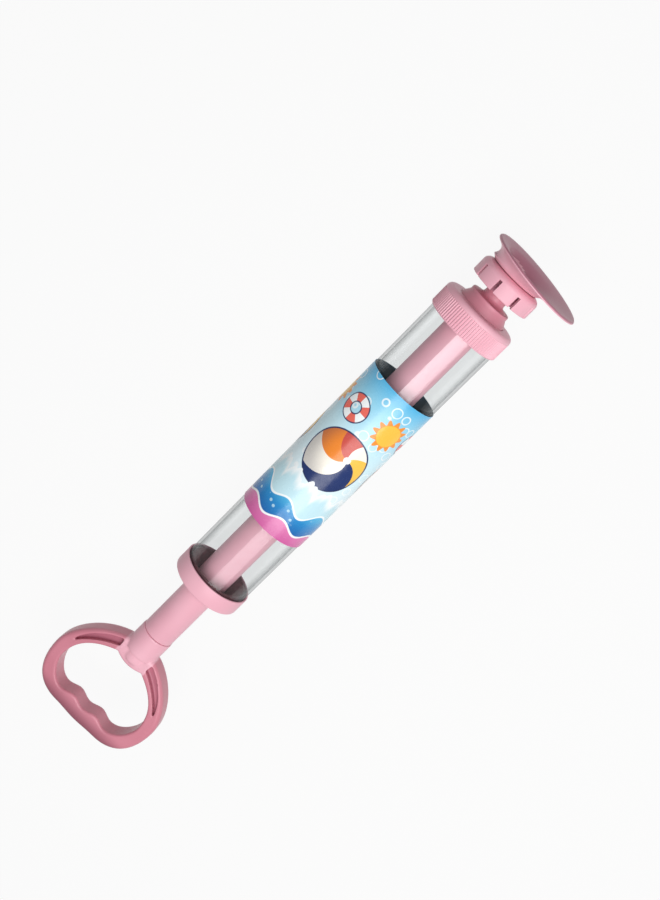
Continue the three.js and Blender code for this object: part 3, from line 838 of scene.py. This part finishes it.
handleShape = {
    "name": "handle", "node": "handle", "body": "plunger", "slot": "pink_plastic",
    "depth": 16, "edge": 3.3, "loopEdge": 1.7,
    "skim": 0.02,  # keeps the flat sides of two shapes from falling together
    "socketRadius": 12.5, "spigotRadius": 9.7, "socketLength": 19.6, "spigotLength": 18, "socketSides": 96,
    "bossRadius": 10, "bossRound": 5, "bossSteps": 10,
    "shoulder": 15.7, "shoulderReach": 20, "shoulderLean": 19,
    "belly": 36.2, "bellyReach": 15.5, "cornerReach": 23,
    "gripHalf": 18, "gripReach": 19, "gripBow": 1, "gripMiddleReach": 6,
    "gripBar": 12.1, "pitch": 21.2, "ridge": 2.9, "armBar": 9.9,
    "waveReach": 0.3642,  # share of a half wave that makes its curve a sine
    "loop": 32.2, "loopReach": 8, "loopCorner": 8.8, "loopFront": 18,
    "bridge": 28.6, "saddleHalf": 11.3, "saddleRise": 2.8, "loopLean": 24, "loopLeanReach": 13.5,
    "grooveDepth": 4.5, "grooveLip": 0.7, "grooveSteps": 12,
    "grooveFrom": 0.02, "grooveTo": 0.76,  # along the arm's curves
    "grooveShare": 0.405, "grooveDrift": 0.15,  # its middle, from the outer curve to the inner one
    "grooveHalf": 0.24, "grooveTip": 0.004,
    "voxel": 0.6, "soften": 4, "softenShare": 0.5,
}


def handleFrame(shape):
    # front of the socket, outer side of the grip and half the width
    low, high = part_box(shape["node"])
    return high.x / mm - shape["spigotLength"], low.x / mm, (high.y - low.y) / 2 / mm


def bezierPoint(points, t):
    weights = ((1 - t) ** 3, 3 * t * (1 - t) ** 2, 3 * t * t * (1 - t), t ** 3)
    return sum((p * w for p, w in zip(points, weights)), Vector((0, 0)))


def armCurves(shape):
    def lean(degrees, reach):
        angle = math.radians(degrees)
        return Vector((-math.sin(angle), math.cos(angle))) * reach
    socketFront, gripOuter, halfWidth = handleFrame(shape)
    start = Vector((socketFront - shape["shoulder"], shape["socketRadius"]))
    widest = Vector((gripOuter + shape["belly"], halfWidth))
    outside = [start, start + lean(shape["shoulderLean"], shape["shoulderReach"]),
               widest + Vector((shape["bellyReach"], 0)), widest]
    start = Vector((socketFront - shape["bridge"], shape["saddleHalf"]))
    widest = Vector((gripOuter + shape["loop"], halfWidth - shape["armBar"]))
    inside = [start, start + lean(shape["loopLean"], shape["loopLeanReach"]),
              widest + Vector((shape["loopFront"], 0)), widest]
    return outside, inside


def flipKnots(knots):
    # the other half of an outline, in running order
    def over(point):
        return Vector((point.x, -point.y))
    return [tuple(over(p) for p in (knot[0], knot[2], knot[1])) for knot in reversed(knots)]


def straightKnots(points):
    knots = []
    for number, point in enumerate(points):
        before = points[number - 1]
        after = points[(number + 1) % len(points)]
        knots.append((point, point.lerp(before, 1 / 3), point.lerp(after, 1 / 3)))
    return knots


def flatShape(name, loops, thick, edge, level):
    # closed bezier loops, filled, thickened and rounded, then made a mesh
    outline = bpy.data.curves.new(name, "CURVE")
    outline.dimensions = "2D"
    outline.fill_mode = "BOTH"
    outline.resolution_u = curveSteps
    outline.extrude = (thick / 2 - edge) * mm
    outline.bevel_depth = edge * mm
    outline.bevel_resolution = roundSteps
    outline.offset = -edge * mm
    for loop in loops:
        spline = outline.splines.new("BEZIER")
        spline.bezier_points.add(len(loop) - 1)
        spline.use_cyclic_u = True
        for knot, (place, before, after) in zip(spline.bezier_points, loop):
            knot.handle_left_type = "FREE"
            knot.handle_right_type = "FREE"
            knot.co = (place.x * mm, place.y * mm, 0)
            knot.handle_left = (before.x * mm, before.y * mm, 0)
            knot.handle_right = (after.x * mm, after.y * mm, 0)
    piece = bpy.data.objects.new(name, outline)
    bpy.context.scene.collection.objects.link(piece)
    piece.location = (0, axisY, axisZ + level * mm)
    pick(piece)
    bpy.ops.object.convert(target="MESH")
    piece = bpy.context.object
    settle(piece)
    closeUp(piece)
    return piece


def gripLoops(shape):
    # the outer outline, and the finger loop running the other way round
    gripOuter = handleFrame(shape)[1]
    outside, inside = armCurves(shape)
    third = Vector((0, shape["socketRadius"] * 2 / 3))
    bow = Vector((gripOuter + shape["gripBow"], shape["gripHalf"]))
    flat = Vector((0, shape["gripMiddleReach"]))
    half = [
        (outside[0], outside[0] - third, outside[1]),
        (outside[3], outside[2], outside[3] - Vector((shape["cornerReach"], 0))),
        (bow, bow + Vector((0, shape["gripReach"])), bow - flat),
    ]
    middle = Vector((gripOuter, 0))
    outer = half + [(middle, middle + flat, middle - flat)] + flipKnots(half)

    wave = Vector((0, shape["pitch"] / 2 * shape["waveReach"]))
    valley = Vector((gripOuter + shape["gripBar"], shape["pitch"]))
    ridge = Vector((gripOuter + shape["gripBar"] + shape["ridge"], shape["pitch"] / 2))
    bulge = Vector((inside[0].x - 2 * shape["saddleRise"], 0))
    half = [
        (inside[0], inside[0].lerp(bulge, 2 / 3), inside[1]),
        (inside[3], inside[2], inside[3] - Vector((shape["loopReach"], 0))),
        (valley, valley + Vector((0, shape["loopCorner"])), valley - wave),
        (ridge, ridge + wave, ridge - wave),
    ]
    middle = Vector((gripOuter + shape["gripBar"], 0))
    inner = half + [(middle, middle + wave, middle - wave)] + flipKnots(half)
    turnedInner = [(place, after, before) for place, before, after in reversed(inner)]
    return outer, turnedInner


def cutLoop(piece, shape, inner):
    # what also lies in a wide plate with the finger loop in it, so that the loop has an edge of its own
    socketFront, gripOuter, halfWidth = handleFrame(shape)
    margin = shape["depth"]
    front, rear, side = socketFront + margin, gripOuter - margin, halfWidth + margin
    corners = ((front, side), (rear, side), (rear, -side), (front, -side))
    around = straightKnots([Vector(corner) for corner in corners])
    plate = flatShape("loopPlate", [around, inner], shape["depth"] - shape["skim"], shape["loopEdge"], 0)
    combine(piece, plate, "INTERSECT")


def grooveLoop(shape, side):
    # tapered strip along one arm, widest at the socket
    outside, inside = armCurves(shape)
    edges = [[], []]
    for step in range(shape["grooveSteps"] + 1):
        along = step / shape["grooveSteps"]
        t = shape["grooveFrom"] + (shape["grooveTo"] - shape["grooveFrom"]) * along
        width = shape["grooveHalf"] * (1 - along ** 3) + shape["grooveTip"]
        for edge, shift in zip(edges, (width, -width)):
            share = shape["grooveShare"] + shape["grooveDrift"] * along - shift
            point = bezierPoint(outside, t).lerp(bezierPoint(inside, t), share)
            edge.append(Vector((point.x, point.y * side)))
    return straightKnots(edges[0] + edges[1][::-1])


def makeSocket(shape):
    socketFront, gripOuter = handleFrame(shape)[:2]
    front = socketFront - gripOuter
    rear = front - shape["socketLength"]
    bossRear = front - shape["bridge"] - shape["saddleRise"] / 2
    bossEnd = (bossRear + shape["bossRound"], shape["bossRadius"])
    boss = sweep((bossRear, 0), (bossRear, shape["bossRadius"]), bossEnd, shape["bossSteps"])
    socket = turnPiece({
        "name": "socket", "node": shape["node"], "sides": shape["socketSides"], "hollow": False,
        "outline": [*boss[1:], (rear, shape["bossRadius"]), (rear, shape["socketRadius"]),
                    (front, shape["socketRadius"]), (front, shape["spigotRadius"]),
                    (front + shape["spigotLength"], shape["spigotRadius"])],
    })
    settle(socket)
    return socket


def makeHandle(shape):
    outer, inner = gripLoops(shape)
    piece = flatShape(shape["name"], [outer], shape["depth"], shape["edge"], 0)
    cutLoop(piece, shape, inner)
    for side in (1, -1):
        for face in (1, -1):
            level = face * shape["depth"] / 2
            cutter = flatShape("groove", [grooveLoop(shape, side)], shape["grooveDepth"] * 2, 0, level)
            combine(piece, cutter, "DIFFERENCE")
    combine(piece, makeSocket(shape), "UNION")
    applyModifier(piece, "REMESH", mode="VOXEL", voxel_size=shape["voxel"] * mm)
    applyModifier(piece, "SMOOTH", factor=shape["softenShare"], iterations=shape["soften"])
    return piece


def withinLoop(x, y, points):
    # how often a line from the point crosses the loop tells if it lies inside
    inside = False
    before = points[-1]
    for after in points:
        if (after.y > y) != (before.y > y):
            crossing = before.x + (after.x - before.x) * (y - before.y) / (after.y - before.y)
            inside ^= x < crossing
        before = after
    return inside


grooveStrips = [[knot[0] for knot in grooveLoop(handleShape, side)] for side in (1, -1)]


def inGroove(face):
    # below the flat sides and inside a groove's strip
    x, y, z = face.center.x / mm, (face.center.y - axisY) / mm, (face.center.z - axisZ) / mm
    low = abs(z) < handleShape["depth"] / 2 - handleShape["grooveLip"]
    return low and any(withinLoop(x, y, strip) for strip in grooveStrips)


grip = makeHandle(handleShape)
finishPiece(grip, handleShape, handleShadedPlastic)
# the groove floors and walls get the darker pink: painted shade
paintFaces(grip, grooveShadeFloor, inGroove)
print("handle done:", len(grip.data.polygons), "faces")


# nodes that stay as they are, with a finish of their own

keptNodes = {"front_gasket": paleRubber, "nozzle_o_ring": blackRubber}
for name, finish in keptNodes.items():
    nodes[name].data.materials.clear()
    nodes[name].data.materials.append(finish)


# floor, light and camera, in metres

floorLook = {
    "size": 16, "paint": colour(196, 196, 195), "roughness": 0.9, "gloss": 0.0,
    "drop": 0.0183,  # leaves room under the handle and the bell when they turn
    "white": 0.92,  # share of plain white where the camera, gloss or clear plastic sees it
}


def makeFloor():
    clearSelection()
    bpy.ops.mesh.primitive_plane_add(size=floorLook["size"], location=(0, 0, -floorLook["drop"]))
    floor = bpy.context.object
    floor.name = "floor"
    made, tree, shader = newMaterial("floorWhite")[:3]
    shader.inputs["Base Color"].default_value = floorLook["paint"]
    shader.inputs["Roughness"].default_value = floorLook["roughness"]
    shader.inputs["Specular IOR Level"].default_value = floorLook["gloss"]
    light = tree.nodes.new("ShaderNodeEmission")
    rays = tree.nodes.new("ShaderNodeLightPath").outputs
    seen = calc(tree, "MAXIMUM", rays["Is Glossy Ray"], rays["Is Transmission Ray"])
    seen = calc(tree, "MAXIMUM", rays["Is Camera Ray"], seen)
    mixed = mixShaders(tree, calc(tree, "MULTIPLY", seen, floorLook["white"]), shader, light)
    tree.links.new(mixed.outputs[0], tree.nodes["Material Output"].inputs["Surface"])
    floor.data.materials.append(made)


lamps = {
    "key": {"place": (0.03, -0.3, 0.85), "size": (0.87, 0.7), "power": 8.0},
}
worldTint = (1, 1, 1, 1)
worldLight = 0.3
worldSeen = 0.945  # as white as the floor at its far edge


def makeLights():
    for name, lamp in lamps.items():
        clearSelection()
        place = Vector(lamp["place"])
        turn = (Vector((place.x, axisY, axisZ)) - place).to_track_quat("-Z", "Y").to_euler()
        bpy.ops.object.light_add(type="AREA", location=place, rotation=turn)
        light = bpy.context.object
        light.name = name
        light.data.shape = "RECTANGLE"
        light.data.size, light.data.size_y = lamp["size"]
        light.data.energy = lamp["power"]
    world = bpy.data.worlds.new("studio")
    world.use_nodes = True
    bpy.context.scene.world = world
    tree = world.node_tree
    back = tree.nodes["Background"]
    rays = tree.nodes.new("ShaderNodeLightPath")
    back.inputs["Color"].default_value = worldTint
    strength = ramp(tree, rays.outputs["Is Camera Ray"], 0, 1, worldLight, worldSeen, False)
    tree.links.new(strength, back.inputs["Strength"])


cameraView = {
    "place": (0.2882, 0.0055, 0.7554),  # along from the origin, sideways and up from the barrel's axis
    "tilt": 17.5,  # leaned towards the nozzle
    "lens": 48.8, "sensor": 36,
}


def makeCamera():
    tilt = math.radians(cameraView["tilt"])
    forward = Vector((math.cos(tilt), 0, -math.sin(tilt)))  # barrel's direction in the picture plane
    side = Vector((0, 1, 0))
    right = (forward - side) / math.sqrt(2)
    up = (forward + side) / math.sqrt(2)
    back = right.cross(up)
    clearSelection()
    bpy.ops.object.camera_add(location=Vector(cameraView["place"]) + Vector((0, axisY, axisZ)))
    camera = bpy.context.object
    camera.rotation_euler = Matrix((right, up, back)).transposed().to_euler()
    camera.data.sensor_fit = "VERTICAL"
    camera.data.sensor_height = cameraView["sensor"]
    camera.data.lens = cameraView["lens"]
    bpy.context.scene.camera = camera


makeFloor()
makeLights()
makeCamera()
bpy.context.scene.view_settings.view_transform = "Standard"
print("stage ready")
